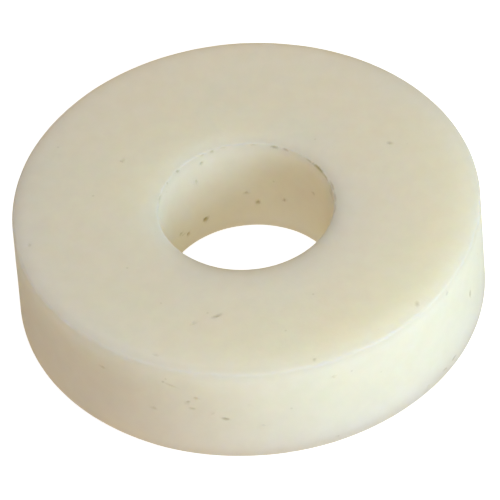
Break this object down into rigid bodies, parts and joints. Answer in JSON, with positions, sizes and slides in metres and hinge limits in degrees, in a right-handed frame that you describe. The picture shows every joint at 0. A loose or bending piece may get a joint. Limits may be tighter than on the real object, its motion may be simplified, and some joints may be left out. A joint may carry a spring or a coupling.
{
  "type": "flat washer",
  "caption": "Thick round flat washer in natural ivory nylon, with a plain clearance bore and slightly rounded edges.",
  "frame": {"origin": "on the bore axis, at the lower bearing face", "axes": "+Z along the bore axis, from the lower bearing face to the upper one; X and Y are any two directions across the ring, which is round"},
  "size_m": [0.017, 0.017, 0.0043],
  "materials": {
    "natural_nylon": "satin"
  },
  "bodies": {
    "root": {"washer": "natural_nylon"}
  },
  "joints": []
}
